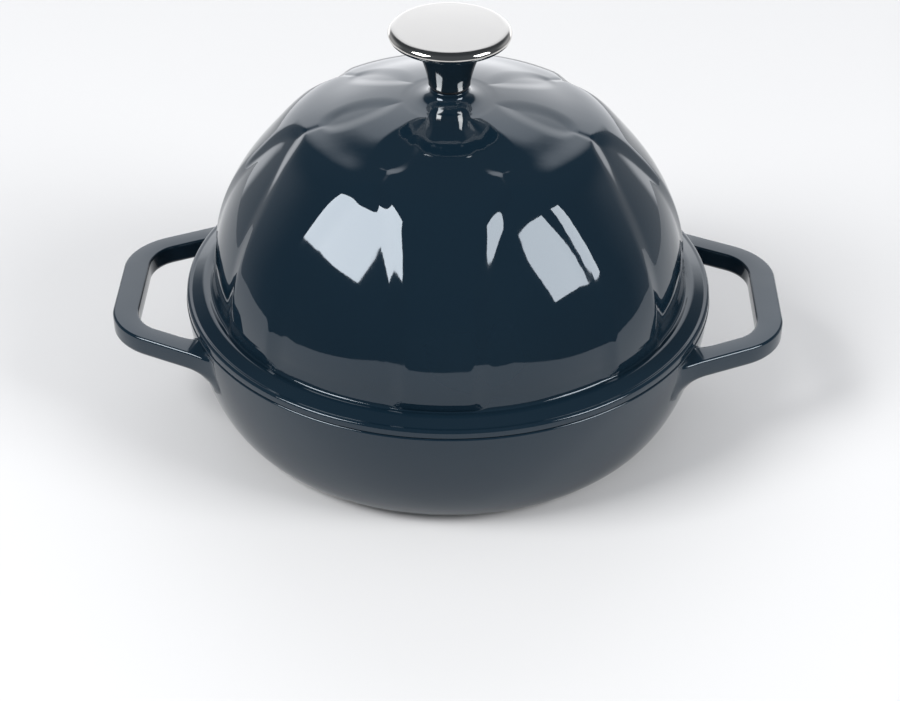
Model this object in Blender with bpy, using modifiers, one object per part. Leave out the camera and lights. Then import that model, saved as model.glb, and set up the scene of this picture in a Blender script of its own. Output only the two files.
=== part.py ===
"""A cast-iron cooking pot with a tall ribbed dome lid, two loop handles and a turned metal knob.

All sizes are in metres. +Z is up, +X runs from handle to handle, and the origin is on the
surface the pot stands on, at the middle of its foot. The pot and the lid are two castings.
The knob, its gasket, the screw and the two washers that hold it are separate pieces.
"""

import math

import bmesh
import bpy

# Base pan
BASE_HEIGHT = 0.064          # foot to the rim that the lid rests on
RIM_RADIUS = 0.131
RIM_LAND = 0.0075            # width of the flat rim
RIM_DEPTH = 0.006            # depth of the thick band under the rim
FOOT_RADIUS = 0.096          # flat part underneath
BASE_WALL = 0.0045
BASE_FLOOR = 0.005
BASE_SIDE_POWER = 2.9        # how straight the upper wall stands
BASE_HEEL_POWER = 1.4        # how soon the wall turns in to the foot

# Loop handles
HANDLE_STANDOUT = 0.0355     # rim to the outer edge of the grip
HANDLE_BAR = 0.0130          # width of the bar seen from above
HANDLE_THICKNESS = 0.0105
HANDLE_DROP = 0.0043         # rim down to the handle's top face
HANDLE_ARM = 0.0110          # width of the two splayed arms
HANDLE_GRIP_HALF = 0.0385    # half of the grip, to where its edge would meet the arm's
HANDLE_SPLAY = math.radians(26)
HANDLE_CORNER = 0.032        # outer corner radius
HANDLE_INNER_CORNER = 0.0192
HANDLE_EDGE = 0.0014         # rounding along the edges
HANDLE_ROOT_DEPTH = 0.025    # how far inside the rim the arms end

# Lid
LID_SETBACK = 0.0003         # how far the lid's edge stays inside the rim's
LID_BAND = 0.0032            # height of the upright edge of the flange
LID_WALL = 0.0045
FLANGE_LIP = 0.0024          # width of the rounded outer lip
FLANGE_WIDTH = 0.0092        # lid edge in to the raised line round the dome
FLANGE_RIDGE_HEIGHT = 0.0063
DOME_FOOT_FILLET = 0.0045    # raised line in to the foot of the dome
DOME_FOOT_HEIGHT = 0.0075
DOME_HEIGHT = 0.1045         # rim to the crown, without the boss
DOME_SIDE_POWER = 2.4
DOME_CROWN_POWER = 2.0
SHOULDER_SETBACK = 0.042     # dome foot in to the fullest part of the shoulder
SHOULDER_SWELL = 0.003       # how far the shoulder stands proud of the plain dome
SHOULDER_SPREAD = 0.012
LIP_DEPTH = 0.0045           # locating ring under the lid
LIP_WALL = 0.004
LIP_CLEARANCE = 0.0012
BOSS_HEIGHT = 0.007          # crown to the face under the knob
BOSS_SETBACK = 0.0008        # how far the boss stays inside the neck's edge
BOSS_EDGE = 0.0007
CAP_TURN = 83.5              # degrees round from the foot to where the boss runs out
PAD_BORDER = 0.002           # flat seat left around the washer inside

# Ribs on the dome
RIB_COUNT = 7
RIB_TURN = math.radians(-1.1)
RIB_HALF_WIDTH = 0.0155      # at the middle of the dome
RIB_WIDENING = 0.030         # extra half width for each metre away from the middle
RIB_RAISE = 0.0022
RIB_SINK = 0.0020            # how deep the rib reaches into the wall, for a sound joint

# Knob and its fixing
KNOB_HEIGHT = 0.0303
KNOB_RADIUS = 0.0292
KNOB_EDGE = 0.0058           # thickness of the rounded edge
KNOB_CROWN = 0.0006
NECK_RADIUS = 0.0102
NECK_LENGTH = 0.0020         # straight part of the neck
NECK_CHAMFER = 0.0006
TAPPED_DEPTH = 0.013
SCREW_RADIUS = 0.0029
SCREW_TIP_GAP = 0.0015
HEAD_SHOULDER = 0.0026       # how far the head stands out around the screw
HEAD_HEIGHT = 0.0034
DRIVE_WIDTH = 0.0011
DRIVE_DEPTH = 0.0019
GASKET_SETBACK = 0.0011      # how far the gasket stays inside the neck's edge
GASKET_THICKNESS = 0.0008
WASHER_BORDER = 0.0025       # how far the flat washer stands out around the head
WASHER_THICKNESS = 0.0012
LOCK_RING = 0.0024           # how far the lock washer stands out around the screw
LOCK_THICKNESS = 0.0015
LOCK_SLIT = 0.0010

GAP = 0.0003                 # between pieces that touch
FIT = 0.0003                 # around the screw
ROUND_STEPS = 56
SMALL_STEPS = 32
SHARP_ANGLE = math.radians(32)

HANDLE_TOP = BASE_HEIGHT - HANDLE_DROP
HANDLE_REACH = RIM_RADIUS + HANDLE_STANDOUT
HANDLE_ROOT_X = RIM_RADIUS - HANDLE_ROOT_DEPTH
LID_RADIUS = RIM_RADIUS - LID_SETBACK
FLANGE_RIDGE_RADIUS = LID_RADIUS - FLANGE_WIDTH
DOME_FOOT_RADIUS = FLANGE_RIDGE_RADIUS - DOME_FOOT_FILLET
BOSS_RADIUS = NECK_RADIUS - BOSS_SETBACK
GASKET_RADIUS = NECK_RADIUS - GASKET_SETBACK
HEAD_RADIUS = SCREW_RADIUS + HEAD_SHOULDER
WASHER_RADIUS = HEAD_RADIUS + WASHER_BORDER
LOCK_RADIUS = SCREW_RADIUS + LOCK_RING
PAD_RADIUS = WASHER_RADIUS + PAD_BORDER
SEAT = BASE_HEIGHT + GAP                       # underside of the lid's flange
BOSS_TOP = BASE_HEIGHT + DOME_HEIGHT + BOSS_HEIGHT
GASKET_BASE = BOSS_TOP + GAP
KNOB_BASE = GASKET_BASE + GASKET_THICKNESS + GAP
CROWN_INSIDE = BASE_HEIGHT + DOME_HEIGHT - LID_WALL
WASHER_TOP = CROWN_INSIDE - GAP
LOCK_TOP = WASHER_TOP - WASHER_THICKNESS - GAP
HEAD_TOP = LOCK_TOP - LOCK_THICKNESS - GAP
HOLE_RADIUS = SCREW_RADIUS + FIT


def clear_scene():
    for thing in list(bpy.data.objects):
        bpy.data.objects.remove(thing, do_unlink=True)


def collection(name):
    made = bpy.data.collections.new(name)
    bpy.context.scene.collection.children.link(made)
    return made


def material(name, colour, roughness, metallic):
    made = bpy.data.materials.new(name)
    made.use_nodes = True
    shader = made.node_tree.nodes["Principled BSDF"]
    shader.inputs["Base Color"].default_value = (*colour, 1.0)
    shader.inputs["Roughness"].default_value = roughness
    shader.inputs["Metallic"].default_value = metallic
    made.diffuse_color = (*colour, 1.0)
    return made


# Outlines, as lists of (radius, height) or (x, y)

def arc(centre, radius, start, end, steps):
    """Points of a circular arc, with the angles in degrees."""
    points = []
    for i in range(steps + 1):
        angle = math.radians(start + (end - start) * i / steps)
        points.append((centre[0] + radius * math.cos(angle), centre[1] + radius * math.sin(angle)))
    return points


def sweep(start, lean_out, lean_in, end, steps):
    """A smooth cubic curve between two points, pulled towards the two points between them."""
    points = []
    for i in range(steps + 1):
        t = i / steps
        weights = ((1 - t) ** 3, 3 * t * (1 - t) ** 2, 3 * t * t * (1 - t), t ** 3)
        corners = (start, lean_out, lean_in, end)
        points.append(tuple(sum(w * c[axis] for w, c in zip(weights, corners)) for axis in (0, 1)))
    return points


def base_side(inset, steps):
    """The bowed side of the pan from the rim down to the foot, moved inwards by inset."""
    points = []
    for i in range(steps + 1):
        turn = math.pi / 2 * (i / steps)
        out = FOOT_RADIUS + (RIM_RADIUS - FOOT_RADIUS) * math.cos(turn) ** (2 / BASE_SIDE_POWER)
        down = BASE_HEIGHT * math.sin(turn) ** (2 / BASE_HEEL_POWER)
        points.append((out - inset, max(BASE_HEIGHT - down, inset * BASE_FLOOR / BASE_WALL)))
    return points


def dome_point(turn, offset):
    """A point of the dome at a turn from 0, its foot, to a right angle, its crown."""
    rise = DOME_HEIGHT - DOME_FOOT_HEIGHT
    out = DOME_FOOT_RADIUS * math.cos(turn) ** (2 / DOME_SIDE_POWER)
    up = rise * math.sin(turn) ** (2 / DOME_CROWN_POWER)
    normal_out = (max(out, 0.0) / DOME_FOOT_RADIUS) ** (DOME_SIDE_POWER - 1) / DOME_FOOT_RADIUS
    normal_up = (up / rise) ** (DOME_CROWN_POWER - 1) / rise * DOME_CROWN_POWER / DOME_SIDE_POWER
    length = math.hypot(normal_out, normal_up)
    from_shoulder = (out - DOME_FOOT_RADIUS + SHOULDER_SETBACK) / SHOULDER_SPREAD
    move = offset + SHOULDER_SWELL * math.exp(-from_shoulder ** 2)
    height = BASE_HEIGHT + DOME_FOOT_HEIGHT + up
    return (out + move * normal_out / length, height + move * normal_up / length)


def dome_line(first_turn, last_turn, offset, steps):
    """Points along the dome; more of them fall where it bends most."""
    return [dome_point(math.radians(first_turn + (last_turn - first_turn) * i / steps), offset)
            for i in range(steps + 1)]


# Pieces

def add(name, mesh, group, finish):
    made = bpy.data.objects.new(name, mesh)
    group.objects.link(made)
    if finish is not None:
        made.data.materials.append(finish)
    return made


def turned(name, outline, group, finish=None, steps=ROUND_STEPS):
    """A solid of revolution, from an outline that runs down its outer side."""
    mesh = bpy.data.meshes.new(name)
    closed = outline[0][0] > 0 or outline[-1][0] > 0
    count = len(outline)
    edges = [(i, i + 1) for i in range(count - 1)]
    if closed:
        edges.append((count - 1, 0))
    mesh.from_pydata([(r, 0.0, z) for r, z in outline], edges, [])
    made = add(name, mesh, group, finish)
    screw = made.modifiers.new("Turn", "SCREW")
    screw.axis = "Z"
    screw.steps = steps
    screw.render_steps = steps
    screw.use_merge_vertices = True
    screw.merge_threshold = 0.00002
    return made


def block(name, low, high, group):
    mesh = bpy.data.meshes.new(name)
    shape = bmesh.new()
    bmesh.ops.create_cube(shape, size=1.0)
    for corner in shape.verts:
        corner.co = [low[i] + (high[i] - low[i]) * (corner.co[i] + 0.5) for i in range(3)]
    shape.to_mesh(mesh)
    shape.free()
    return add(name, mesh, group, None)


def helper(piece):
    piece.hide_render = True
    piece.display_type = "WIRE"
    return piece


def boolean(piece, other, operation):
    step = piece.modifiers.new(operation.title(), "BOOLEAN")
    step.operation = operation
    step.solver = "EXACT"
    step.object = other


def flat_shape(name, outlines, thickness, middle, group):
    """A plate lying flat, cut to an outline; any further outlines are holes in it."""
    curve = bpy.data.curves.new(name, "CURVE")
    curve.dimensions = "2D"
    curve.fill_mode = "BOTH"
    curve.extrude = thickness / 2
    for outline in outlines:
        line = curve.splines.new("POLY")
        line.points.add(len(outline) - 1)
        for point, (x, y) in zip(line.points, outline):
            point.co = (x, y, 0.0, 1.0)
        line.use_cyclic_u = True
    drawn = bpy.data.objects.new(name + "_curve", curve)
    drawn.location = (0, 0, middle)
    group.objects.link(drawn)
    bpy.context.view_layer.update()
    graph = bpy.context.evaluated_depsgraph_get()
    mesh = bpy.data.meshes.new_from_object(drawn.evaluated_get(graph))
    shape = bmesh.new()
    shape.from_mesh(mesh)
    bmesh.ops.remove_doubles(shape, verts=shape.verts, dist=0.00001)
    shape.to_mesh(mesh)
    shape.free()
    made = bpy.data.objects.new(name, mesh)
    made.matrix_world = drawn.matrix_world
    group.objects.link(made)
    bpy.data.objects.remove(drawn)
    return made


def rounded(corners, steps):
    """An outline with each corner (x, y, radius) turned into an arc."""
    points = []
    count = len(corners)
    for i, (x, y, radius) in enumerate(corners):
        before, after = corners[i - 1], corners[(i + 1) % count]
        if radius == 0:
            points.append((x, y))
            continue
        to_before = math.atan2(before[1] - y, before[0] - x)
        to_after = math.atan2(after[1] - y, after[0] - x)
        turn = (to_after - to_before + math.pi) % (2 * math.pi) - math.pi
        reach = radius / math.tan(abs(turn) / 2)
        half = to_before + turn / 2
        centre_far = math.hypot(reach, radius)
        centre = (x + centre_far * math.cos(half), y + centre_far * math.sin(half))
        side = 1 if turn > 0 else -1
        first = math.degrees(to_before) - side * 90
        points += arc(centre, radius, first, first - side * (180 - abs(math.degrees(turn))), steps)
    return points


def smooth(piece):
    for face in piece.data.polygons:
        face.use_smooth = True
    piece.data.set_sharp_from_angle(angle=SHARP_ANGLE)


def handle_outlines(side):
    """Outer edge and opening of one loop handle, seen from above."""
    slope = math.tan(HANDLE_SPLAY)
    root_half = HANDLE_GRIP_HALF + (HANDLE_REACH - HANDLE_ROOT_X) * slope
    inner_x = HANDLE_REACH - HANDLE_BAR
    inner_half = HANDLE_GRIP_HALF + HANDLE_BAR * slope - HANDLE_ARM / math.cos(HANDLE_SPLAY)
    hole_root_x = HANDLE_ROOT_X + HANDLE_BAR / 3
    inner_root = inner_half + (inner_x - hole_root_x) * slope
    outer = [(HANDLE_ROOT_X, root_half, 0), (HANDLE_REACH, HANDLE_GRIP_HALF, HANDLE_CORNER),
             (HANDLE_REACH, -HANDLE_GRIP_HALF, HANDLE_CORNER), (HANDLE_ROOT_X, -root_half, 0)]
    hole = [(hole_root_x, inner_root, 0), (inner_x, inner_half, HANDLE_INNER_CORNER),
            (inner_x, -inner_half, HANDLE_INNER_CORNER), (hole_root_x, -inner_root, 0)]
    return [[(side * x, y) for x, y in rounded(line, 5)] for line in (outer, hole)]


def make_base(group, cutters, finish):
    side = base_side(0.0, 11)
    base = turned("base_pan", [(0.0, BASE_HEIGHT)] + side + [(0.0, 0.0)], group, finish)
    middle = HANDLE_TOP - HANDLE_THICKNESS / 2
    for side_name, direction in (("left", -1), ("right", 1)):
        loop = flat_shape(side_name + "_loop", handle_outlines(direction), HANDLE_THICKNESS,
                          middle, cutters)
        edge = loop.modifiers.new("Edge", "BEVEL")
        edge.width = HANDLE_EDGE
        edge.segments = 2
        edge.limit_method = "ANGLE"
        edge.angle_limit = math.radians(50)
        boolean(base, helper(loop), "UNION")
    wall = [point for point in base_side(BASE_WALL, 9) if point[1] < BASE_HEIGHT - RIM_DEPTH]
    mouth = RIM_RADIUS - RIM_LAND
    above = BASE_HEIGHT + RIM_LAND
    hollow = [(0.0, above), (mouth, above), (mouth, BASE_HEIGHT - RIM_DEPTH / 2)] + wall
    hollow.append((0.0, BASE_FLOOR))
    boolean(base, helper(turned("pan_hollow", hollow, cutters)), "DIFFERENCE")
    return base


def flange_outline():
    """The lid's edge, from the foot of the dome out and down to the seat and in to the lip."""
    ridge = BASE_HEIGHT + FLANGE_RIDGE_HEIGHT
    lip_out = RIM_RADIUS - RIM_LAND - LIP_CLEARANCE
    top = SEAT + LID_BAND
    groove = LID_RADIUS - FLANGE_LIP
    points = [(FLANGE_RIDGE_RADIUS - 0.0018, ridge - 0.0006), (FLANGE_RIDGE_RADIUS - 0.0006, ridge)]
    points += [(FLANGE_RIDGE_RADIUS + 0.0006, ridge - 0.0002), (groove, top + 0.0006)]
    points += [(groove + 0.0004, top + 0.0004)]
    points += arc((LID_RADIUS - 0.0012, top - 0.0006), 0.0012, 80, 0, 3)
    points += [(LID_RADIUS, SEAT), (lip_out, SEAT), (lip_out, SEAT - LIP_DEPTH + 0.001)]
    points += [(lip_out - 0.001, SEAT - LIP_DEPTH), (lip_out - LIP_WALL, SEAT - LIP_DEPTH)]
    return points


def make_lid(group, cutters, finish):
    flare_end = dome_point(math.radians(CAP_TURN), RIB_RAISE)
    boss_side = (BOSS_RADIUS, BOSS_TOP - BOSS_HEIGHT / 4)
    outline = [(HOLE_RADIUS, BOSS_TOP), (BOSS_RADIUS - BOSS_EDGE, BOSS_TOP)]
    outline += [(BOSS_RADIUS, BOSS_TOP - BOSS_EDGE)]
    outline += sweep(boss_side, (BOSS_RADIUS, flare_end[1] + 0.0015),
                     (flare_end[0] * 0.6, flare_end[1] + 0.0005), flare_end, 5)
    outline += dome_line(CAP_TURN - 4, 3, 0.0, 12)
    outline += flange_outline()
    outline += dome_line(3, 84, -LID_WALL, 10)
    outline += [(PAD_RADIUS, CROWN_INSIDE), (HOLE_RADIUS, CROWN_INSIDE)]
    lid = turned("lid", outline, group, finish)
    crown = dome_line(CAP_TURN - 1, 2, RIB_RAISE, 12) + dome_line(2, CAP_TURN - 1, -RIB_SINK, 6)
    ribs = turned("rib_crowns", crown, cutters)
    half = math.pi / RIB_COUNT
    star = []
    for k in range(RIB_COUNT):
        facing = RIB_TURN - math.pi / 2 + 2 * half * k
        reach = LID_RADIUS + RIM_LAND
        tip = RIB_HALF_WIDTH + (reach - DOME_FOOT_RADIUS / 2) * RIB_WIDENING
        notch = RIB_HALF_WIDTH - RIB_WIDENING * DOME_FOOT_RADIUS / 4
        for side in (-1, 1):
            star.append((reach * math.cos(facing) - side * tip * math.sin(facing),
                         reach * math.sin(facing) + side * tip * math.cos(facing)))
        valley = notch / math.sin(half)
        star.append((valley * math.cos(facing + half), valley * math.sin(facing + half)))
    prism = flat_shape("rib_star", [star], DOME_HEIGHT, BASE_HEIGHT + DOME_HEIGHT / 2 + 0.02,
                       cutters)
    boolean(ribs, helper(prism), "INTERSECT")
    boolean(lid, helper(ribs), "UNION")
    return lid


def make_knob(group, finish):
    top = KNOB_BASE + KNOB_HEIGHT
    edge = KNOB_EDGE / 2
    edge_height = top - KNOB_CROWN - edge
    neck_top = KNOB_BASE + NECK_LENGTH
    outline = [(0.0, top), (KNOB_RADIUS * 0.45, top - KNOB_CROWN * 0.2)]
    outline += arc((KNOB_RADIUS - edge, edge_height), edge, 90, -70, 8)
    outline += sweep((KNOB_RADIUS - edge * 1.9, edge_height - edge * 1.15),
                     (NECK_RADIUS + 0.0045, edge_height - edge * 1.4),
                     (NECK_RADIUS + 0.0014, neck_top + 0.007), (NECK_RADIUS, neck_top), 8)
    outline += [(NECK_RADIUS, KNOB_BASE + NECK_CHAMFER), (NECK_RADIUS - NECK_CHAMFER, KNOB_BASE)]
    outline += [(HOLE_RADIUS, KNOB_BASE), (HOLE_RADIUS, KNOB_BASE + TAPPED_DEPTH)]
    outline += [(0.0, KNOB_BASE + TAPPED_DEPTH + HOLE_RADIUS / 2)]
    return turned("lid_knob", outline, group, finish, SMALL_STEPS)


def make_gasket(group, finish):
    low, high = GASKET_BASE, GASKET_BASE + GASKET_THICKNESS
    outline = [(HOLE_RADIUS, high), (GASKET_RADIUS, high), (GASKET_RADIUS, low), (HOLE_RADIUS, low)]
    return turned("knob_gasket", outline, group, finish, SMALL_STEPS)


def make_washer(group, finish):
    high, low = WASHER_TOP, WASHER_TOP - WASHER_THICKNESS
    outline = [(HOLE_RADIUS, high), (WASHER_RADIUS - GAP, high), (WASHER_RADIUS, high - GAP),
               (WASHER_RADIUS, low + GAP), (WASHER_RADIUS - GAP, low), (HOLE_RADIUS, low)]
    return turned("flat_washer", outline, group, finish, SMALL_STEPS)


def make_lock_washer(group, cutters, finish):
    high, low = LOCK_TOP, LOCK_TOP - LOCK_THICKNESS
    outline = [(HOLE_RADIUS, high), (LOCK_RADIUS, high), (LOCK_RADIUS, low), (HOLE_RADIUS, low)]
    washer = turned("lock_washer", outline, group, finish, SMALL_STEPS)
    slit = block("washer_slit", (0, -LOCK_SLIT / 2, low - GAP),
                 (LOCK_RADIUS + GAP, LOCK_SLIT / 2, high + GAP), cutters)
    boolean(washer, helper(slit), "DIFFERENCE")
    return washer


def make_screw(group, cutters, finish):
    low = HEAD_TOP - HEAD_HEIGHT
    tip = KNOB_BASE + TAPPED_DEPTH - SCREW_TIP_GAP
    outline = [(0.0, tip), (SCREW_RADIUS - 0.0008, tip), (SCREW_RADIUS, tip - 0.0008)]
    outline += [(SCREW_RADIUS, HEAD_TOP), (HEAD_RADIUS, HEAD_TOP)]
    outline += sweep((HEAD_RADIUS, HEAD_TOP - HEAD_HEIGHT * 0.35), (HEAD_RADIUS, low + 0.0006),
                     (HEAD_RADIUS * 0.8, low), (HEAD_RADIUS * 0.5, low), 4)
    outline += [(0.0, low)]
    screw = turned("knob_screw", outline, group, finish, SMALL_STEPS)
    long_half = HEAD_RADIUS * 0.62
    for name, reach in (("drive_slot_x", (long_half, DRIVE_WIDTH / 2)),
                        ("drive_slot_y", (DRIVE_WIDTH / 2, long_half))):
        slot = block(name, (-reach[0], -reach[1], low - GAP), (reach[0], reach[1], low + DRIVE_DEPTH),
                     cutters)
        boolean(screw, helper(slot), "DIFFERENCE")
    return screw


def build():
    clear_scene()
    pot = collection("Tagine pot")
    cutters = collection("Cutters")
    enamel_out = material("navy enamel", (0.010, 0.024, 0.042), 0.06, 0.0)
    enamel_lid = material("navy enamel lid", (0.010, 0.024, 0.042), 0.06, 0.0)
    polished = material("polished steel", (0.78, 0.77, 0.75), 0.08, 1.0)
    plain_steel = material("plain steel", (0.62, 0.62, 0.63), 0.30, 1.0)
    washer_steel = material("washer steel", (0.60, 0.60, 0.62), 0.32, 1.0)
    spring_steel = material("spring steel", (0.50, 0.50, 0.52), 0.35, 1.0)
    silicone = material("black silicone", (0.02, 0.02, 0.022), 0.60, 0.0)
    pieces = [
        make_base(pot, cutters, enamel_out),
        make_lid(pot, cutters, enamel_lid),
        make_knob(pot, polished),
        make_gasket(pot, silicone),
        make_washer(pot, washer_steel),
        make_lock_washer(pot, cutters, spring_steel),
        make_screw(pot, cutters, plain_steel),
    ]
    lid = pieces[1]
    for piece in pieces:
        smooth(piece)
    for piece in pieces[2:]:
        piece.parent = lid


build()
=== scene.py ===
"""The looks of a cast-iron tagine pot: navy enamel outside, cream enamel inside, a ribbed dome
lid and a polished steel knob. It stands on a pale table in soft studio light.

All sizes are in metres, and angles are in radians where nothing says degrees. Outlines are lists
of (radius, height), and each runs down the outer side of its piece.
"""

import math

import bmesh
import bpy
from mathutils import Euler, Matrix, Vector


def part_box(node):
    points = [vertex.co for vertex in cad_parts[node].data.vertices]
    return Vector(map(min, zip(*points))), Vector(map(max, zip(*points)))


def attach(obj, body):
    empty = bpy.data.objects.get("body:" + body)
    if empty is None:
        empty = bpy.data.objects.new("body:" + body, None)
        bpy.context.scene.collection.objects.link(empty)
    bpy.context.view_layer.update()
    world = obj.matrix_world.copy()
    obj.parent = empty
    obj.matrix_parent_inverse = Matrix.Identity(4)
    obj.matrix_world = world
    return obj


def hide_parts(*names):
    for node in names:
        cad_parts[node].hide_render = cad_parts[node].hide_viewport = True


# Pan
BASE_HEIGHT = 0.064
RIM_RADIUS = 0.131
RIM_LAND = 0.0075
MOUTH_RADIUS = RIM_RADIUS - RIM_LAND
RIM_DEPTH = 0.006
RIM_EDGE = 0.0009            # rounding of the rim's outer corner
FOOT_RADIUS = 0.096
FOOT_EDGE = 0.0016
BASE_WALL = 0.0045
BASE_FLOOR = 0.005
BASE_SIDE_POWER = 2.9
BASE_HEEL_POWER = 1.4

# Loop handles
HANDLE_REACH = RIM_RADIUS + 0.0355
HANDLE_BAR = 0.0130
HANDLE_ARM = 0.0110
HANDLE_THICKNESS = 0.0105
HANDLE_DROP = 0.0043
HANDLE_GRIP_HALF = 0.0385
HANDLE_SPLAY = math.radians(26)
HANDLE_CORNER = 0.0255       # corner radius of the bar's middle line
HANDLE_TOP_EDGE = 0.0013
HANDLE_UNDER_EDGE = 0.0026
HANDLE_ROOT_X = RIM_RADIUS - 0.036
ROOT_FILLET_TOP = 0.0034     # how far the casting's fillets climb at the roots
ROOT_FILLET_SIDE = 0.0080
ROOT_FILLET_UNDER = 0.0100
ROOT_SINK = 0.0005           # how deep inside the wall the fillets end, for a clean join

# Lid
SEAT = BASE_HEIGHT + 0.0003  # the lid rests just clear of the rim
LID_RADIUS = RIM_RADIUS - 0.0003
LID_BAND = 0.0032
LID_WALL = 0.0045
FLANGE_RIDGE_RADIUS = LID_RADIUS - 0.0092
FLANGE_RIDGE_HEIGHT = 0.0063
DOME_FOOT_RADIUS = FLANGE_RIDGE_RADIUS - 0.0045
DOME_FOOT_HEIGHT = 0.0075
DOME_HEIGHT = 0.1045
DOME_SIDE_POWER = 2.4
DOME_CROWN_POWER = 2.0
SHOULDER_SETBACK = 0.042     # dome foot in to the fullest part of the shoulder
SHOULDER_SWELL = 0.003
SHOULDER_SPREAD = 0.012
LIP_DEPTH = 0.0045
LIP_WALL = 0.004
LIP_CLEARANCE = 0.0012
LIP_RADIUS = MOUTH_RADIUS - LIP_CLEARANCE
LIP_EDGE = 0.0006
BOSS_RADIUS = 0.0094
BOSS_HEIGHT = 0.007
BOSS_EDGE = 0.0007
PAD_RADIUS = 0.0100

# Ribs on the dome
RIB_COUNT = 7
RIB_TURN = math.radians(-1.1)
RIB_HALF_WIDTH = 0.0146
RIB_WIDENING = 0.030
RIB_RAISE = 0.0017
RIB_RUN_OUT = 7              # outline points at the foot over which the ribs fade out

DOME_FIRST_TURN = 3          # where the dome starts above its foot, in degrees
FLARE_TURN = 83.5            # where the boss's flare runs into the dome, in degrees
UNDER_LAST_TURN = 84

# Knob and its fixing
KNOB_RADIUS = 0.0292
KNOB_ROUNDING = 0.0043       # how far in from the rim the disc's top starts to round over
KNOB_EDGE = 0.0058           # thickness of the rounded edge
KNOB_CROWN = 0.0006
NECK_RADIUS = 0.0102
NECK_LENGTH = 0.0020
NECK_EDGE = 0.0008
TAPPED_DEPTH = 0.013
SCREW_RADIUS = 0.0029
HOLE_RADIUS = SCREW_RADIUS + 0.0003
HEAD_RADIUS = 0.0055
HEAD_HEIGHT = 0.0034
HEAD_EDGE = 0.0003
TIP_EDGE = 0.0008            # bevel at the screw's tip
THREAD_PITCH = 0.0010
THREAD_DEPTH = 0.00045
DRIVE_WIDTH = 0.0011
DRIVE_DEPTH = 0.0019
SPRING_SLIT = math.radians(9)
SPRING_EDGE = 0.00015

# Points around each turned piece
PAN_TURNS = 320
LID_TURNS = 420
KNOB_TURNS = 192
RING_TURNS = 96
SCREW_TURNS = 64

# Colours, as linear red, green and blue
NAVY = (0.0050, 0.0140, 0.0240)
NAVY_THIN = (0.0075, 0.0175, 0.0280)
ENAMEL_SHEEN = (0.90, 1.00, 1.10)
CREAM = (0.640, 0.560, 0.430)
CREAM_SPECK = (0.330, 0.270, 0.190)
STEEL = (0.640, 0.620, 0.590)
STEEL_SATIN = (0.360, 0.357, 0.350)
STEEL_DULL = (0.520, 0.505, 0.485)
SPRING_STEEL = (0.430, 0.430, 0.435)
SILICONE = (0.018, 0.018, 0.020)
TABLE = (0.690, 0.690, 0.694)
STUDIO_WHITE = (0.80, 0.80, 0.80)

# Studio
TABLE_SIDE = ((0.28, -0.53), (0.34, -0.18), (0.60, 0.06), (0.60, 1.20))
FLOOR_HALF = 9.0
FLOOR_DROP = 0.001           # how far the floor is below the tabletop
WALL_GLOW = 1.3              # brightness of the wall behind, and how much its middle adds
MIDDLE_GLOW = 0.5
SIDE_GLOW = 0.35
FILL_GLOW = 0.30             # only on what scatters light, so it shows in no reflection
DIM_ROOM = (0.09, 0.10, 0.11)
WALL_SIDE_FADE = (0.74, 0.80)  # over how squarely a direction faces the back
WALL_TOP_FADE = (0.70, 0.78)   # over how steeply a direction rises
NARROWING = 0.12               # how much the wall narrows above the table, and where
NARROWING_FADE = (0.05, 0.30)
MIDDLE_FADE = (0.86, 1.0)
SIDE_FADE = (0.0, 0.5)
SIDE_TOP_FADE = (0.2, 0.6)
BACKDROP = (0.88, 0.88, 0.885)
WINDOW_DISTANCE = 3.2
WINDOW_AIM_HEIGHT = 0.08     # the windows face the axis of the pot at this height
CAMERA_PLACE = (0.01426, -0.93017, 0.66664)
CAMERA_LENS = 88.0           # in millimetres, like the sensor
CAMERA_SENSOR = 36.0
CAMERA_SHIFT = 0.0026
CAMERA_DIP = 0.60534         # how far it looks down from level
CAMERA_TURN = 0.01533
CAMERA_ROLL = math.radians(0.4)


# Node trees

class Wire:
    """One socket of a node tree. Arithmetic on it adds the tree's maths nodes."""

    def __init__(self, tree, socket):
        self.tree = tree
        self.socket = socket

    def maths(self, operation, *values):
        return node(self.tree, "ShaderNodeMath", {"operation": operation}, dict(enumerate(values)))

    def __add__(self, other):
        return self.maths("ADD", self, other)

    def __radd__(self, other):
        return self.maths("ADD", other, self)

    def __sub__(self, other):
        return self.maths("SUBTRACT", self, other)

    def __rsub__(self, other):
        return self.maths("SUBTRACT", other, self)

    def __mul__(self, other):
        return self.maths("MULTIPLY", self, other)

    def __rmul__(self, other):
        return self.maths("MULTIPLY", other, self)

    def __truediv__(self, other):
        return self.maths("DIVIDE", self, other)

    def __rtruediv__(self, other):
        return self.maths("DIVIDE", other, self)

    def __pow__(self, other):
        return self.maths("POWER", self, other)

    def __abs__(self):
        return self.maths("ABSOLUTE", self)


def node(tree, kind, settings=None, values=None, output=0):
    """Adds a node, sets what it is, fills its sockets and returns one of its outputs."""
    made = tree.nodes.new(kind)
    for name, setting in (settings or {}).items():
        if name == "stops":
            for stop in setting[2:]:
                made.color_ramp.elements.new(stop[0])
            for element, (place, colour) in zip(made.color_ramp.elements, setting):
                element.position = place
                element.color = (*colour, 1.0)
        else:
            setattr(made, name, setting)
    for key, value in (values or {}).items():
        if isinstance(value, Wire):
            tree.links.new(value.socket, made.inputs[key])
        else:
            made.inputs[key].default_value = value
    return Wire(tree, made.outputs[output])


def ease(tree, value, low, high):
    """0 below low, 1 above high, and a smooth step between them."""
    return node(tree, "ShaderNodeMapRange", {"interpolation_type": "SMOOTHSTEP"},
                {"Value": value, "From Min": low, "From Max": high})


def parts_of(tree, vector):
    """The x, y and z of a vector."""
    return [node(tree, "ShaderNodeSeparateXYZ", None, {0: vector}, i) for i in range(3)]


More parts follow.
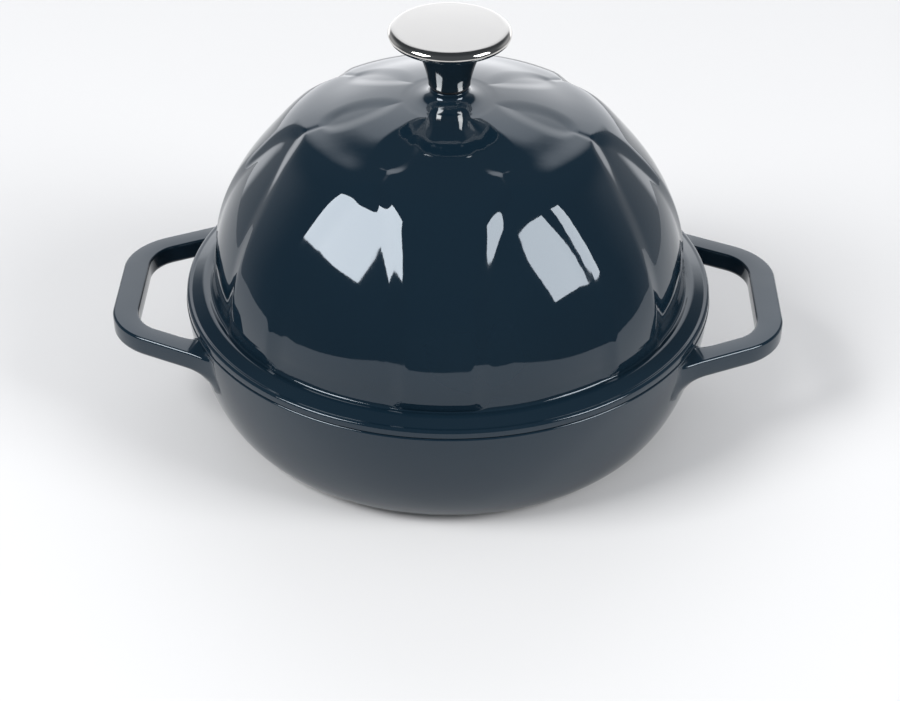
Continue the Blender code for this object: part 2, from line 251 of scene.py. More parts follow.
def blend_colours(tree, factor, first, second):
    values = {"Factor": factor, 6: first, 7: second}
    return node(tree, "ShaderNodeMix", {"data_type": "RGBA"}, values, 2)


def noise(tree, place, scale, detail=2.0, roughness=0.5):
    return node(tree, "ShaderNodeTexNoise", None,
                {"Vector": place, "Scale": scale, "Detail": detail, "Roughness": roughness})


def bump(tree, height, distance, strength):
    return node(tree, "ShaderNodeBump", None,
                {"Height": height, "Distance": distance, "Strength": strength})


def rgba(colour):
    return (*colour, 1.0)


def open_tree(name, shape, sizes, material, result):
    """A Geometry Nodes tree that takes a shape, sizes and a material, and its inputs by name."""
    tree = bpy.data.node_groups.new(name, "GeometryNodeTree")
    tree.interface.new_socket(shape, in_out="INPUT", socket_type="NodeSocketGeometry")
    for label, size in sizes.items():
        socket = tree.interface.new_socket(label, in_out="INPUT", socket_type="NodeSocketFloat")
        socket.default_value = size
    tree.interface.new_socket(material, in_out="INPUT", socket_type="NodeSocketMaterial")
    tree.interface.new_socket(result, in_out="OUTPUT", socket_type="NodeSocketGeometry")
    entry = tree.nodes.new("NodeGroupInput")
    return tree, {socket.name: Wire(tree, socket) for socket in entry.outputs if socket.name}


def close_tree(tree, shape, move, material):
    """Ends a tree: moves the shape's points, makes it one real mesh and gives it its material."""
    moved = node(tree, "GeometryNodeSetPosition", None, {"Geometry": shape, "Offset": move})
    joined = node(tree, "GeometryNodeRealizeInstances", None, {0: moved})
    coat = {"Geometry": joined, "Material": material}
    coated = node(tree, "GeometryNodeSetMaterial", None, coat)
    leave = tree.nodes.new("NodeGroupOutput")
    tree.links.new(coated.socket, leave.inputs[0])
    return tree


class Finish:
    """A material, with its surface shader and its Object coordinates ready to use."""

    def __init__(self, name, **constants):
        self.material = bpy.data.materials.new(name)
        self.material.use_nodes = True
        self.tree = self.material.node_tree
        self.shader = self.tree.nodes["Principled BSDF"]
        self.place = node(self.tree, "ShaderNodeTexCoord", None, None, 3)
        for socket, value in constants.items():
            self.set(socket.replace("_", " "), value)

    def set(self, socket, value):
        if isinstance(value, Wire):
            self.tree.links.new(value.socket, self.shader.inputs[socket])
        else:
            self.shader.inputs[socket].default_value = value


def outer_enamel():
    """Deep navy gloss enamel: slow waves from the firing, a little lighter where it runs thin."""
    finish = Finish("navy_enamel", IOR=1.52, Specular_Tint=rgba(ENAMEL_SHEEN))
    tree, place = finish.tree, finish.place
    drift = noise(tree, place, scale=9.0, detail=3.0)
    cloud = noise(tree, place, scale=38.0, detail=4.0)
    swell = noise(tree, place, scale=34.0, detail=1.0)
    ripple = noise(tree, place, scale=210.0, detail=1.0)
    pores = noise(tree, place, scale=900.0, detail=1.0)
    thin = ease(tree, drift, 0.42, 0.68)
    finish.set("Base Color", blend_colours(tree, thin * 0.5, rgba(NAVY), rgba(NAVY_THIN)))
    finish.set("Roughness", 0.035 + 0.03 * ease(tree, cloud, 0.45, 0.75))
    waves = swell + ripple * 0.05 + pores * 0.004
    finish.set("Normal", bump(tree, waves, distance=0.0006, strength=0.35))
    return finish.material


def inner_enamel():
    """Cream gloss enamel with fine brown specks."""
    finish = Finish("cream_enamel", IOR=1.5)
    tree, place = finish.tree, finish.place
    cells = node(tree, "ShaderNodeTexVoronoi", {"feature": "F1"},
                 {"Vector": place, "Scale": 520.0})
    crowded = noise(tree, place, scale=140.0)
    cloud = noise(tree, place, scale=60.0, detail=4.0)
    waves = noise(tree, place, scale=45.0, detail=1.0)
    speck = (1 - ease(tree, cells, 0.10, 0.22)) * ease(tree, crowded, 0.50, 0.62)
    finish.set("Base Color", blend_colours(tree, speck, rgba(CREAM), rgba(CREAM_SPECK)))
    finish.set("Roughness", 0.10 + 0.10 * cloud)
    finish.set("Normal", bump(tree, waves, distance=0.0006, strength=0.35))
    return finish.material


def polished_steel(satin_above):
    """Mirror-polished steel with faint turning marks, and a satin face on top of the disc."""
    finish = Finish("polished_steel", Metallic=1.0)
    tree, place = finish.tree, finish.place
    x, y, z = parts_of(tree, place)
    radius = (x * x + y * y) ** 0.5
    marks = node(tree, "ShaderNodeTexNoise", {"noise_dimensions": "1D"},
                 {"W": radius + z * 1.3, "Scale": 9000.0, "Detail": 2.0})
    cloud = noise(tree, place, scale=120.0, detail=4.0)
    satin = ease(tree, z, satin_above - 0.0008, satin_above)
    polished = blend_colours(tree, cloud * 0.25, rgba(STEEL), rgba(STEEL_DULL))
    finish.set("Base Color", blend_colours(tree, satin, polished, rgba(STEEL_SATIN)))
    finish.set("Roughness", 0.05 + 0.05 * ease(tree, cloud, 0.45, 0.75) + satin * 0.08)
    finish.set("Normal", bump(tree, marks, distance=0.00001, strength=0.3))
    return finish.material


def plain_steel(name, colour, roughness):
    """Plain bright steel as it comes off the machine, with fine scratches."""
    finish = Finish(name, Metallic=1.0)
    tree, place = finish.tree, finish.place
    scratch = node(tree, "ShaderNodeTexWave", {"wave_type": "RINGS", "rings_direction": "Z"},
                   {"Vector": place, "Scale": 1600.0, "Distortion": 6.0, "Detail": 3.0})
    stain = noise(tree, place, scale=420.0, detail=5.0, roughness=0.65)
    dull = [channel * 0.7 for channel in colour]
    finish.set("Base Color", blend_colours(tree, stain, rgba(colour), rgba(dull)))
    finish.set("Roughness", roughness + 0.15 * stain)
    finish.set("Normal", bump(tree, scratch, distance=0.00002, strength=0.4))
    return finish.material


def silicone():
    """Matt black silicone with a fine moulded grain."""
    finish = Finish("black_silicone")
    tree, place = finish.tree, finish.place
    grain = noise(tree, place, scale=2600.0, detail=3.0)
    dust = [channel * 2.2 for channel in SILICONE]
    finish.set("Base Color", blend_colours(tree, grain * 0.5, rgba(SILICONE), rgba(dust)))
    finish.set("Roughness", 0.55 + 0.2 * grain)
    finish.set("Normal", bump(tree, grain, distance=0.00004, strength=0.5))
    return finish.material


# Outlines

def arc(centre, radius, start, end, steps):
    """Points of a circular arc, with the angles in degrees."""
    points = []
    for i in range(steps + 1):
        angle = math.radians(start + (end - start) * i / steps)
        points.append((centre[0] + radius * math.cos(angle), centre[1] + radius * math.sin(angle)))
    return points


def sweep(start, lean_out, lean_in, end, steps):
    """A smooth cubic curve between two points, pulled towards the two points between them."""
    points = []
    corners = (start, lean_out, lean_in, end)
    for i in range(steps + 1):
        t = i / steps
        weights = ((1 - t) ** 3, 3 * t * (1 - t) ** 2, 3 * t * t * (1 - t), t ** 3)
        points.append(tuple(sum(w * c[axis] for w, c in zip(weights, corners)) for axis in (0, 1)))
    return points


def softened(corners, steps=5):
    """An outline of (radius, height, rounding) corners, with each rounding turned into a curve."""
    points = []
    for i, (r, z, rounding) in enumerate(corners):
        if rounding == 0 or i in (0, len(corners) - 1):
            points.append((r, z))
            continue
        ends = []
        for other in (corners[i - 1], corners[i + 1]):
            away = math.hypot(other[0] - r, other[1] - z)
            share = min(rounding / away, 0.5)
            ends.append((r + (other[0] - r) * share, z + (other[1] - z) * share))
        leans = [((end[0] + 2 * r) / 3, (end[1] + 2 * z) / 3) for end in ends]
        points += sweep(ends[0], leans[0], leans[1], ends[1], steps)
    return points


def base_side(inset, steps):
    """The bowed side of the pan from the rim down to the foot, moved inwards by inset."""
    points = []
    for i in range(steps + 1):
        turn = math.pi / 2 * (i / steps)
        out = FOOT_RADIUS + (RIM_RADIUS - FOOT_RADIUS) * math.cos(turn) ** (2 / BASE_SIDE_POWER)
        down = BASE_HEIGHT * math.sin(turn) ** (2 / BASE_HEEL_POWER)
        points.append((out - inset, max(BASE_HEIGHT - down, inset * BASE_FLOOR / BASE_WALL)))
    return points


def dome_point(turn, offset):
    """A point of the dome at a turn from 0, its foot, to a right angle, its crown."""
    rise = DOME_HEIGHT - DOME_FOOT_HEIGHT
    out = DOME_FOOT_RADIUS * math.cos(turn) ** (2 / DOME_SIDE_POWER)
    up = rise * math.sin(turn) ** (2 / DOME_CROWN_POWER)
    normal_out = (max(out, 0.0) / DOME_FOOT_RADIUS) ** (DOME_SIDE_POWER - 1) / DOME_FOOT_RADIUS
    normal_up = (up / rise) ** (DOME_CROWN_POWER - 1) / rise * DOME_CROWN_POWER / DOME_SIDE_POWER
    length = math.hypot(normal_out, normal_up)
    from_shoulder = (out - DOME_FOOT_RADIUS + SHOULDER_SETBACK) / SHOULDER_SPREAD
    move = offset + SHOULDER_SWELL * math.exp(-from_shoulder ** 2)
    height = BASE_HEIGHT + DOME_FOOT_HEIGHT + up
    return (out + move * normal_out / length, height + move * normal_up / length)


def dome_line(first_turn, last_turn, offset, steps):
    """Points of the dome's outline between two turns in degrees."""
    return [dome_point(math.radians(first_turn + (last_turn - first_turn) * i / steps), offset)
            for i in range(steps + 1)]


# Meshes

def placed(name, data):
    """Stands a mesh, a light or a camera in the scene."""
    made = bpy.data.objects.new(name, data)
    bpy.context.scene.collection.objects.link(made)
    return made


def bar_of(name, shape, rings):
    """Joins rings of points into one closed bar, and ends the work on that shape."""
    for ring, other in zip(rings, rings[1:]):
        for i in range(len(ring)):
            j = (i + 1) % len(ring)
            shape.faces.new((ring[i], ring[j], other[j], other[i]))
    shape.faces.new(rings[0])
    shape.faces.new(rings[-1])
    bmesh.ops.recalc_face_normals(shape, faces=shape.faces)
    mesh = bpy.data.meshes.new(name)
    shape.to_mesh(mesh)
    shape.free()
    return placed(name, mesh)


def turned(name, outline, steps, skin=None):
    """A solid of revolution. skin gives each outline point a share of the rib pattern."""
    mesh = bpy.data.meshes.new(name)
    rings, points, shares = [], [], []
    for k, (r, z) in enumerate(outline):
        count = 1 if r < 1e-6 else steps
        rings.append(list(range(len(points), len(points) + count)))
        for i in range(count):
            angle = 2 * math.pi * i / steps
            points.append((r * math.cos(angle), r * math.sin(angle), z))
            shares.append(skin[k] if skin else 0.0)
    pairs = list(zip(rings, rings[1:]))
    if len(rings[0]) > 1:
        pairs.append((rings[-1], rings[0]))
    faces = []
    for upper, lower in pairs:
        for i in range(steps):
            j = (i + 1) % steps
            corners = [lower[i % len(lower)], lower[j % len(lower)],
                       upper[j % len(upper)], upper[i % len(upper)]]
            faces.append(list(dict.fromkeys(corners)))
    mesh.from_pydata(points, [], faces)
    if skin:
        mesh.attributes.new("rib_share", "FLOAT", "POINT").data.foreach_set("value", shares)
    return placed(name, mesh)


def bake(piece):
    """Turns a piece with modifiers into a plain mesh."""
    bpy.context.view_layer.update()
    graph = bpy.context.evaluated_depsgraph_get()
    mesh = bpy.data.meshes.new_from_object(piece.evaluated_get(graph))
    piece.modifiers.clear()
    piece.data = mesh


def shade(piece, sharp_degrees=50):
    """Smooth shading, but sharp where the surface turns by more than sharp_degrees."""
    piece.data.shade_smooth()
    piece.data.set_sharp_from_angle(angle=math.radians(sharp_degrees))


def cut_or_join(piece, other, operation):
    """Cuts another solid out of a piece, or joins it on. The other one is used up."""
    step = piece.modifiers.new(operation.title(), "BOOLEAN")
    step.operation = operation
    step.solver = "EXACT"
    step.object = other
    bake(piece)
    bpy.data.objects.remove(other)


def two_enamels(piece, is_inside):
    """Navy outside and cream inside; is_inside says which face middles and normals are inside."""
    piece.data.materials.clear()
    for enamel in ENAMELS:
        piece.data.materials.append(enamel)
    for face in piece.data.polygons:
        face.material_index = int(is_inside(face.center, face.normal))


# Pan

def handle_line():
    """Stations (x, y, bar half width) along the middle of the right loop, from root to root."""
    slope = math.tan(HANDLE_SPLAY)
    grip_x = HANDLE_REACH - HANDLE_BAR / 2
    arm = HANDLE_ARM / 2
    corner_y = HANDLE_GRIP_HALF + HANDLE_BAR / 2 * slope - arm / math.cos(HANDLE_SPLAY)
    root_y = corner_y + (grip_x - HANDLE_ROOT_X) * slope
    turn = math.pi / 2 - HANDLE_SPLAY
    reach = HANDLE_CORNER * math.tan(turn / 2)
    along = (math.cos(HANDLE_SPLAY), math.sin(HANDLE_SPLAY))
    bend_start = (grip_x - reach * along[0], corner_y + reach * along[1])
    steps = 44
    half = [(HANDLE_ROOT_X + (bend_start[0] - HANDLE_ROOT_X) * i / steps,
             root_y + (bend_start[1] - root_y) * i / steps, arm) for i in range(steps)]
    centre = (grip_x - HANDLE_CORNER, corner_y - reach)
    bend = arc(centre, HANDLE_CORNER, 90 - math.degrees(HANDLE_SPLAY), 0, 16)
    for i, (x, y) in enumerate(bend):
        share = i / (len(bend) - 1)
        half.append((x, y, arm + (HANDLE_BAR / 2 - arm) * (3 - 2 * share) * share ** 2))
    grip = [(grip_x, bend[-1][1] * (1 - i / 8), HANDLE_BAR / 2) for i in range(1, 9)]
    first = half + grip
    return first + [(x, -y, width) for x, y, width in reversed(first[:-1])]


def wall_gap(point, side_line):
    """How far a point is outside the pan's side, along a level line from the axis."""
    radius, height = math.hypot(point[0], point[1]), point[2]
    for (r_high, z_high), (r_low, z_low) in zip(side_line, side_line[1:]):
        if z_low <= height <= z_high:
            share = (height - z_low) / max(z_high - z_low, 1e-9)
            return radius - (r_low + (r_high - r_low) * share)
    return radius - side_line[0][0]


def fillet(gap, reach):
    """How far a fillet of that reach stands proud at a distance from the wall it runs into."""
    if gap >= reach:
        return 0.0
    away = min(max(1 - gap / reach, 0.0), 1.0)
    return reach * (1 - math.sqrt(1 - away * away))


def section(half_width, half_height):
    """The bar's section as (across, up, across lean, up lean) points, the leans facing out."""
    points = []
    for quarter, (sx, sy) in enumerate(((1, 1), (-1, 1), (-1, -1), (1, -1))):
        edge = HANDLE_TOP_EDGE if sy > 0 else HANDLE_UNDER_EDGE
        centre = (sx * (half_width - edge), sy * (half_height - edge))
        for across, up in arc((0, 0), 1.0, quarter * 90, quarter * 90 + 90, 6):
            points.append((centre[0] + edge * across, centre[1] + edge * up, across, up))
    return points


def handle(side, side_line):
    """One loop handle, its roots growing into fillets where they meet the pan's side."""
    shape = bmesh.new()
    rings = []
    line = handle_line()
    middle = BASE_HEIGHT - HANDLE_DROP - HANDLE_THICKNESS / 2
    for i, (x, y, half_width) in enumerate(line):
        before, after = line[max(i - 1, 0)], line[min(i + 1, len(line) - 1)]
        along = Vector((after[0] - before[0], after[1] - before[1], 0)).normalized()
        across = Vector((along.y, -along.x, 0))
        ring = []
        for right, up, right_lean, up_lean in section(half_width, HANDLE_THICKNESS / 2):
            point = Vector((x, y, middle)) + across * right + Vector((0, 0, up))
            gap = max(wall_gap(point, side_line) + ROOT_SINK, 0.0)
            up_reach = ROOT_FILLET_TOP if up_lean > 0 else ROOT_FILLET_UNDER
            outwards = Vector((point.x, point.y, 0)).normalized()
            along_wall = across - outwards * across.dot(outwards)
            point += along_wall * right_lean * fillet(gap, ROOT_FILLET_SIDE)
            point.z += up_lean * fillet(gap, up_reach)
            ring.append(shape.verts.new((side * point.x, point.y, point.z)))
        rings.append(ring)
    return bar_of("loop", shape, rings)


def make_pan():
    """The pan: a turned solid with both handles joined on, and then hollowed out."""
    side = base_side(0.0, 96)
    outer = [point for point in side if point[1] < BASE_HEIGHT - RIM_EDGE * 1.2]
    outer = [point for point in outer if point[1] > FOOT_EDGE]
    rim = arc((RIM_RADIUS - RIM_EDGE, BASE_HEIGHT - RIM_EDGE), RIM_EDGE, 90, 0, 7)
    foot = sweep(outer[-1], (outer[-1][0] - FOOT_EDGE, FOOT_EDGE * 0.3),
                 (FOOT_RADIUS + FOOT_EDGE, 0.0), (FOOT_RADIUS - FOOT_EDGE, 0.0), 8)
    solid = [(0.0, BASE_HEIGHT), (RIM_RADIUS * 0.5, BASE_HEIGHT)]
    solid += rim + outer + foot[1:] + [(FOOT_RADIUS / 2, 0.0), (0.0, 0.0)]
    pan = turned("pan", solid, PAN_TURNS)
    for direction in (-1, 1):
        cut_or_join(pan, handle(direction, side), "UNION")
    mouth = MOUTH_RADIUS
    wall = [point for point in base_side(BASE_WALL, 60) if point[1] < BASE_HEIGHT - RIM_DEPTH]
    lip = sweep((mouth, BASE_HEIGHT - RIM_DEPTH * 0.4), (mouth, BASE_HEIGHT - RIM_DEPTH * 0.8),
                (wall[0][0] - 0.0004, wall[0][1] + 0.0018), wall[0], 8)
    edge = arc((mouth + RIM_EDGE, BASE_HEIGHT - RIM_EDGE), RIM_EDGE, 90, 180, 5)
    hollow = [(0.0, BASE_HEIGHT + RIM_LAND), (mouth + RIM_EDGE, BASE_HEIGHT + RIM_LAND)]
    hollow += edge + lip + wall[1:] + [(FOOT_RADIUS * 0.5, BASE_FLOOR), (0.0, BASE_FLOOR)]
    cut_or_join(pan, turned("hollow", hollow, PAN_TURNS), "DIFFERENCE")
    two_enamels(pan, inside_pan)
    shade(pan, 42)
    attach(pan, "base")
    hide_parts("base_pan")


def inside_pan(middle, normal):
    """The cream side: the floor, and the walls that face the axis."""
    radius = middle.xy.length
    faces_axis = radius < RIM_RADIUS - BASE_WALL / 2 and normal.xy.dot(middle.xy) < -0.2 * radius
    floor = normal.z > 0.5 and BASE_FLOOR / 2 < middle.z < BASE_HEIGHT / 2
    return faces_axis or floor


# Lid

def ribbed_dome_tree():
    """Raises seven ribs on a plain dome: leaf-shaped dips near the crown, arched panels below."""
    sizes = {
        "Ribs": RIB_COUNT, "First rib": RIB_TURN - math.pi / 2, "Raise": RIB_RAISE,
        "Half width": RIB_HALF_WIDTH, "Widening": RIB_WIDENING, "Panel slope": 0.0034,
        "Arch start": 0.0700, "Arch width": 0.0120, "Arch length": 0.0080, "Arch slope": 0.0120,
        "Leaf start": 0.0225, "Leaf end": 0.0610, "Leaf half width": 0.0125, "Leaf slope": 0.0100,
        "Leaf depth": 0.42,
    }
    tree, given = open_tree("ribbed dome", "Dome", sizes, "Enamel", "Ribbed")
    x, y, _ = parts_of(tree, node(tree, "GeometryNodeInputPosition"))
    radius = (x * x + y * y) ** 0.5
    pitch = 2 * math.pi / given["Ribs"]
    turns = (y.maths("ARCTAN2", y, x) - given["First rib"]) / pitch
    from_rib = abs(turns - turns.maths("ROUND", turns)) * pitch
    beside_rib = radius * from_rib.maths("SINE", from_rib)
    to_valley = pitch / 2 - from_rib
    beside_valley = radius * to_valley.maths("SINE", to_valley)
    rib_half = given["Half width"] + given["Widening"] * (radius - DOME_FOOT_RADIUS / 2)
    panel_edge = beside_rib - rib_half
    past_arch = radius - given["Arch start"]
    past_arch = past_arch.maths("MAXIMUM", past_arch, 0.0)
    arch_half = given["Arch width"] * (past_arch / given["Arch length"]) ** 0.62
    under_arch = ease(tree, (arch_half - beside_valley) / given["Arch slope"], -0.3, 0.7)
    panel = ease(tree, panel_edge / given["Panel slope"], -0.5, 0.5) * under_arch
    leaf_length = given["Leaf end"] - given["Leaf start"]
    along = (radius - given["Leaf start"]) / leaf_length
    along = along.maths("MINIMUM", along.maths("MAXIMUM", along, 0.0), 1.0)
    # The two powers reach 0.56 at the leaf's widest place.
    leaf_half = given["Leaf half width"] * along ** 0.6 * (1 - along) ** 0.3 / 0.56
    leaf = ease(tree, (leaf_half - beside_valley) / given["Leaf slope"], 0.0, 1.0)
    leaf = leaf * given["Leaf depth"]
    raised = 1 - leaf.maths("MAXIMUM", leaf, panel)
    share = node(tree, "GeometryNodeInputNamedAttribute", {"data_type": "FLOAT"}, {0: "rib_share"})
    normal = node(tree, "GeometryNodeInputNormal")
    move = node(tree, "ShaderNodeVectorMath", {"operation": "SCALE"},
                {"Vector": normal, "Scale": raised * share * given["Raise"]})
    return close_tree(tree, given["Dome"], move, given["Enamel"])


def apply_tree(piece, tree, sizes):
    """Runs a tree on a piece with some of its inputs set, and keeps the result as plain mesh."""
    step = piece.modifiers.new(tree.name, "NODES")
    step.node_group = tree
    for item in tree.interface.items_tree:
        if item.in_out == "INPUT" and item.name in sizes:
            step[item.identifier] = sizes[item.name]
    bake(piece)


def flange_outline():
    """The lid's edge, from the foot of the dome out over the ridge and groove to the seat.

    The corners are (radius, height, rounding). The locating ring is next to the last, and the
    last one is on the inside of the dome.
    """
    ridge = BASE_HEIGHT + FLANGE_RIDGE_HEIGHT
    top = SEAT + LID_BAND
    foot = dome_point(math.radians(DOME_FIRST_TURN), 0.0)
    corners = [
        (foot[0], foot[1], 0),
        (DOME_FOOT_RADIUS + 0.0012, ridge - 0.0005, 0.0020),
        (FLANGE_RIDGE_RADIUS - 0.0004, ridge + 0.0005, 0.0024),
        (LID_RADIUS - 0.0024, top + 0.0004, 0.0007),
        (LID_RADIUS - 0.0017, top + 0.0007, 0.0006),
        (LID_RADIUS - 0.0002, top + 0.0002, 0.0018),
        (LID_RADIUS, top - 0.0016, 0.0008),
        (LID_RADIUS, SEAT, 0.0004),
        (LIP_RADIUS, SEAT, LIP_EDGE),
        (LIP_RADIUS, SEAT - LIP_DEPTH, 0.0010),
        (LIP_RADIUS - LIP_WALL, SEAT - LIP_DEPTH, 0.0015),
        dome_point(math.radians(DOME_FIRST_TURN), -LID_WALL) + (0,),
    ]
    return softened(corners)


def make_lid():
    """The lid: boss, ribbed dome, edge and locating ring as one turned shell."""
    boss_top = BASE_HEIGHT + DOME_HEIGHT + BOSS_HEIGHT
    flare_end = dome_point(math.radians(FLARE_TURN), RIB_RAISE)
    boss_side = (BOSS_RADIUS, boss_top - BOSS_HEIGHT / 4)
    boss = [(HOLE_RADIUS, boss_top)]
    boss += arc((BOSS_RADIUS - BOSS_EDGE, boss_top - BOSS_EDGE), BOSS_EDGE, 90, 0, 5)
    flare = sweep(boss_side, (BOSS_RADIUS + 0.0002, flare_end[1] + 0.0030),
                  (BOSS_RADIUS + 0.0030, flare_end[1] + 0.0005), flare_end, 20)
    dome = dome_line(FLARE_TURN, DOME_FIRST_TURN, 0.0, 112)[1:]
    under = dome_line(DOME_FIRST_TURN, UNDER_LAST_TURN, -LID_WALL, 26)[1:]
    seat = [(PAD_RADIUS, BASE_HEIGHT + DOME_HEIGHT - LID_WALL),
            (HOLE_RADIUS, BASE_HEIGHT + DOME_HEIGHT - LID_WALL)]
    flange = flange_outline()
    outline = boss + flare + dome[:-1] + flange + under + seat
    lifted = [0.0] * len(boss + flare) + [1.0] * len(dome[:-1])
    lifted += [1 - i / RIB_RUN_OUT for i in range(RIB_RUN_OUT)]
    skin = lifted + [0.0] * (len(outline) - len(lifted))
    lid = turned("dome_lid", outline, LID_TURNS, skin)
    apply_tree(lid, ribbed_dome_tree(), {"Enamel": ENAMELS[0]})
    two_enamels(lid, inside_lid)
    shade(lid, 42)
    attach(lid, "lid")
    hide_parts("lid")


def inside_lid(middle, normal):
    """The cream side: what faces the food, in from the locating ring."""
    radius = middle.xy.length
    if radius > LIP_RADIUS - LIP_EDGE:
        return False
    faces_out = normal.xy.dot(middle.xy) > 0.3 * radius
    return not faces_out and (normal.z < 0 or middle.z < SEAT + 0.0005)


# Knob and fixing

def make_knob(low, high):
    """The knob: a nearly flat disc with a rounded edge, on a neck that flares up into it."""
    edge = KNOB_EDGE / 2
    edge_height = high.z - KNOB_CROWN - edge
    neck_top = low.z + NECK_LENGTH
    outline = [(0.0, high.z)]
    for i in range(1, 14):
        share = i / 14
        outline.append(((KNOB_RADIUS - KNOB_ROUNDING) * share, high.z - KNOB_CROWN * share ** 2.2))
    for across, up in arc((0, 0), 1.0, 90, 0, 16):
        outline.append((KNOB_RADIUS - KNOB_ROUNDING * (1 - across), edge_height + edge * up))
    outline += arc((KNOB_RADIUS - edge, edge_height), edge, 0, -70, 12)[1:]
    outline += sweep((KNOB_RADIUS - edge * 1.9, edge_height - edge * 1.15),
                     (NECK_RADIUS + 0.0045, edge_height - edge * 1.4),
                     (NECK_RADIUS + 0.0014, neck_top + 0.007), (NECK_RADIUS, neck_top), 24)
    outline += arc((NECK_RADIUS - NECK_EDGE, low.z + NECK_EDGE), NECK_EDGE, 0, -90, 5)
    outline += [(HOLE_RADIUS, low.z), (HOLE_RADIUS, low.z + TAPPED_DEPTH)]
    outline += [(0.0, low.z + TAPPED_DEPTH + HOLE_RADIUS / 2)]
    knob = turned("knob", outline, KNOB_TURNS)
    knob.data.materials.append(polished_steel(high.z - KNOB_CROWN - 0.0006))
    shade(knob, 42)
    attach(knob, "lid")
    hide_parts("lid_knob")


def flat_ring(name, node_name, outer_edge, finish):
    """A ring that fills its CAD node's box, with the edges rounded by outer_edge."""
    low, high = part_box(node_name)
    radius = high.x
    outline = [(HOLE_RADIUS, high.z)]
    outline += arc((radius - outer_edge, high.z - outer_edge), outer_edge, 90, 0, 5)
    outline += arc((radius - outer_edge, low.z + outer_edge), outer_edge, 0, -90, 5)
    outline += [(HOLE_RADIUS, low.z)]
    ring = turned(name, outline, RING_TURNS)
    ring.data.materials.append(finish)
    shade(ring)
    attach(ring, "lid")
    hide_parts(node_name)


def split_ring():
    """The spring washer: one turn of square wire, with its two ends a little apart."""
    low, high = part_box("lock_washer")
    thickness = high.z - low.z
    half = thickness * 0.45
    inset = SPRING_EDGE
    steps = 72
    shape = bmesh.new()
    wire = []
    for i in range(steps + 1):
        share = i / steps
        angle = SPRING_SLIT / 2 + (2 * math.pi - SPRING_SLIT) * share
        tilt = (share - 0.5) * thickness * 0.10
        middle = (low.z + high.z) / 2 + tilt
        square = []
        for r, z in ((high.x, -half + inset), (high.x, half - inset), (high.x - inset, half),
                     (HOLE_RADIUS + inset, half), (HOLE_RADIUS, half - inset),
                     (HOLE_RADIUS, -half + inset), (HOLE_RADIUS + inset, -half),
                     (high.x - inset, -half)):
            square.append(shape.verts.new((r * math.cos(angle), r * math.sin(angle), middle + z)))
        wire.append(square)
    ring = bar_of("split_ring", shape, wire)
    ring.data.materials.append(plain_steel("spring_steel", SPRING_STEEL, 0.30))
    shade(ring)
    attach(ring, "lid")
    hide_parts("lock_washer")


def thread_tree():
    """Cuts a screw thread into a plain shank by moving its points in a rising spiral."""
    sizes = {"Pitch": THREAD_PITCH, "Depth": THREAD_DEPTH, "Lowest": 0.0}
    tree, given = open_tree("screw thread", "Screw", sizes, "Steel", "Threaded")
    x, y, z = parts_of(tree, node(tree, "GeometryNodeInputPosition"))
    turns = z / given["Pitch"] - y.maths("ARCTAN2", y, x) / (2 * math.pi)
    groove = abs(turns - turns.maths("ROUND", turns)) * 2
    started = ease(tree, z, given["Lowest"], given["Lowest"] + given["Pitch"])
    radius = (x * x + y * y) ** 0.5
    on_side = ease(tree, radius, SCREW_RADIUS * 0.93, SCREW_RADIUS * 0.98)
    narrower = groove * started * on_side * given["Depth"]
    outwards = node(tree, "ShaderNodeVectorMath", {"operation": "NORMALIZE"},
                    {0: node(tree, "ShaderNodeCombineXYZ", None, {0: x, 1: y})})
    move = node(tree, "ShaderNodeVectorMath", {"operation": "SCALE"},
                {"Vector": outwards, "Scale": narrower * -1.0})
    return close_tree(tree, given["Screw"], move, given["Steel"])


def box_block(low, high):
    """A plain block between two corners, to cut a slot with."""
    mesh = bpy.data.meshes.new("slot_cutter")
    shape = bmesh.new()
    bmesh.ops.create_cube(shape, size=1.0)
    for corner in shape.verts:
        corner.co = [low[i] + (high[i] - low[i]) * (corner.co[i] + 0.5) for i in range(3)]
    shape.to_mesh(mesh)
    shape.free()
    return placed("slot_cutter", mesh)


def make_screw():
    """The screw, head down, with a thread on its shank and a cross slot in its head."""
    low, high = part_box("knob_screw")
    head_top = low.z + HEAD_HEIGHT
    shank = high.z - TIP_EDGE - head_top
    count = 130
    outline = [(0.0, high.z), (SCREW_RADIUS - TIP_EDGE, high.z)]
    outline += [(SCREW_RADIUS, high.z - TIP_EDGE - shank * i / count) for i in range(count + 1)]
    outline += [(HEAD_RADIUS - HEAD_EDGE, head_top), (HEAD_RADIUS, head_top - HEAD_EDGE)]
    outline += sweep((HEAD_RADIUS, head_top - HEAD_HEIGHT * 0.35), (HEAD_RADIUS, low.z + 0.0006),
                     (HEAD_RADIUS * 0.8, low.z), (HEAD_RADIUS * 0.5, low.z), 12)
    outline += [(0.0, low.z)]
    steel = plain_steel("screw_steel", STEEL_DULL, 0.24)
    screw = turned("screw", outline, SCREW_TURNS)
    apply_tree(screw, thread_tree(), {"Lowest": head_top + THREAD_PITCH, "Steel": steel})
    reach = HEAD_RADIUS * 0.62
    for across in ((reach, DRIVE_WIDTH / 2), (DRIVE_WIDTH / 2, reach)):
        slot = box_block((-across[0], -across[1], low.z - 0.001),
                         (across[0], across[1], low.z + DRIVE_DEPTH))
        cut_or_join(screw, slot, "DIFFERENCE")
    shade(screw)
    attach(screw, "lid")
    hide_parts("knob_screw")


# Studio

